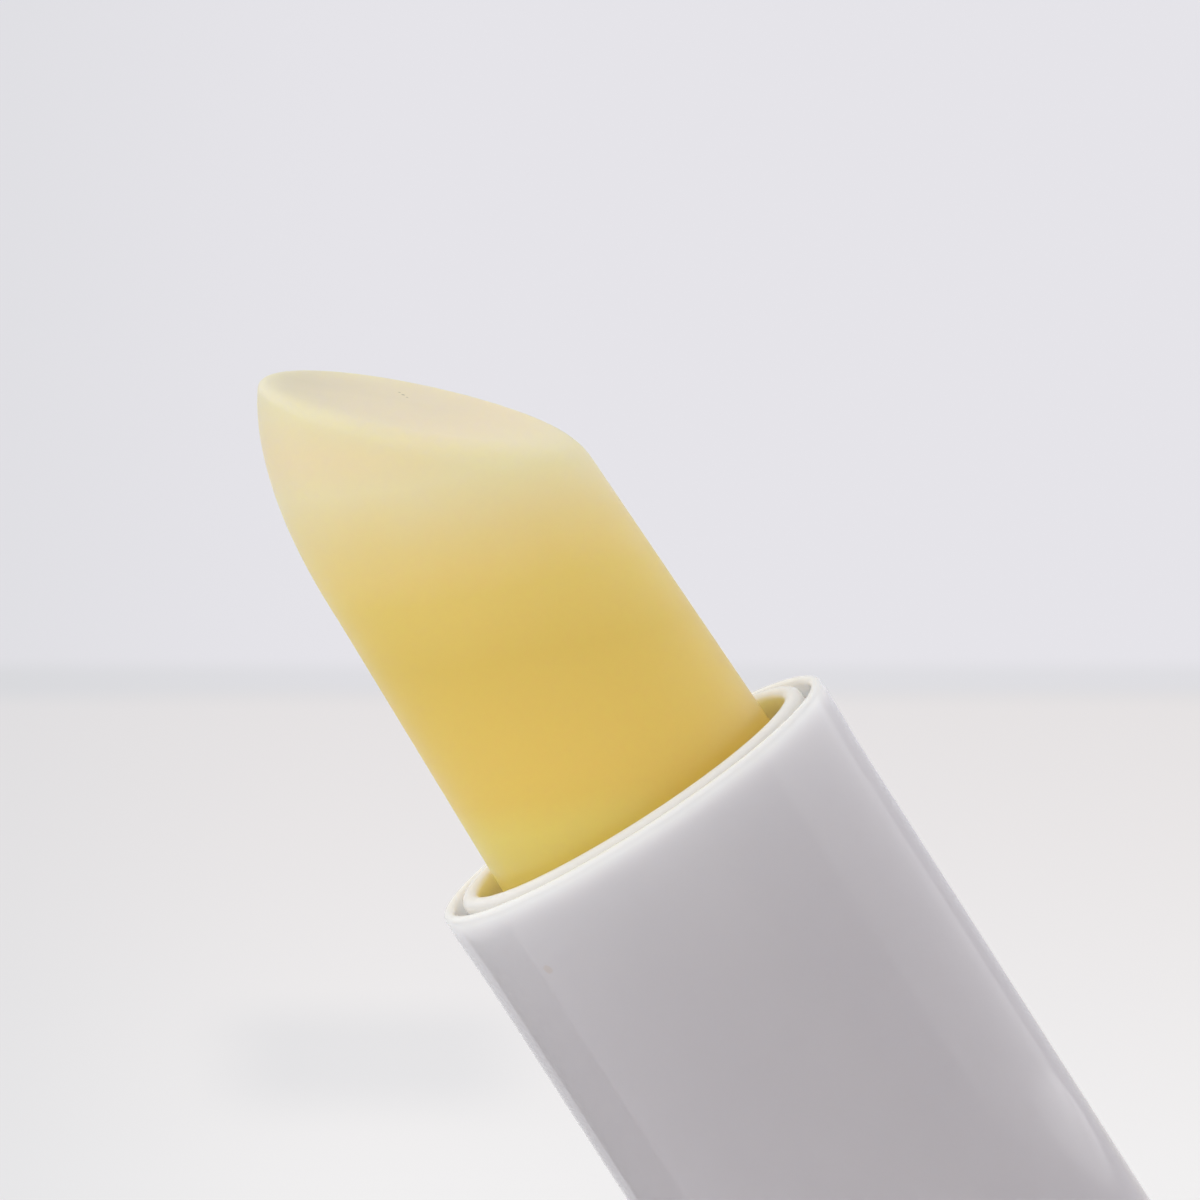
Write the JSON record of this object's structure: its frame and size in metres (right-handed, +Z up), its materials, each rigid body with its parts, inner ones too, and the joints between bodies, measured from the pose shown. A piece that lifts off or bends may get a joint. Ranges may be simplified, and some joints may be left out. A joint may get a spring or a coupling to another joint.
{
  "type": "lipstick",
  "caption": "Twist-up lip balm stick: a translucent yellow bullet with a slanting face, wound up out of a glossy white tube on a round base.",
  "frame": {"origin": "centre of the underside of the base", "axes": "+Z up along the tube to the bullet's tip; the slanting face looks to +X; the carrier's lugs point along +Y and -Y"},
  "size_m": [0.0194, 0.0194, 0.0649],
  "materials": {
    "gloss_white": "smooth high-gloss white moulding",
    "natural_plastic": "plain moulding, hidden",
    "cup_plastic": "plain moulding, hidden",
    "soft_ring": "soft and slightly greased",
    "balm_wax": "translucent yellow wax with a soft shine, clearer towards the tip"
  },
  "bodies": {
    "base": {"base_shell": "gloss_white", "base_core": "natural_plastic", "inner_tube": "gloss_white", "friction_ring": "soft_ring"},
    "sleeve": {"outer_sleeve": "gloss_white", "spiral_sleeve": "natural_plastic"},
    "carrier": {"carrier_cup": "cup_plastic", "balm": "balm_wax"}
  },
  "joints": [
    {"name": "twist", "type": "hinge", "parent": "base", "child": "sleeve", "pos_m": [0, 0, 0], "axis": [0, 0, 1], "range_deg": [0, 495]},
    {"name": "lift", "type": "slide", "parent": "base", "child": "carrier", "axis": [0, 0, 1], "range_m": [-0.02201, 0]}
  ],
  "couplings": [
    {"joint": "lift", "follows": "twist", "m_per_rad": -0.0025465}
  ]
}
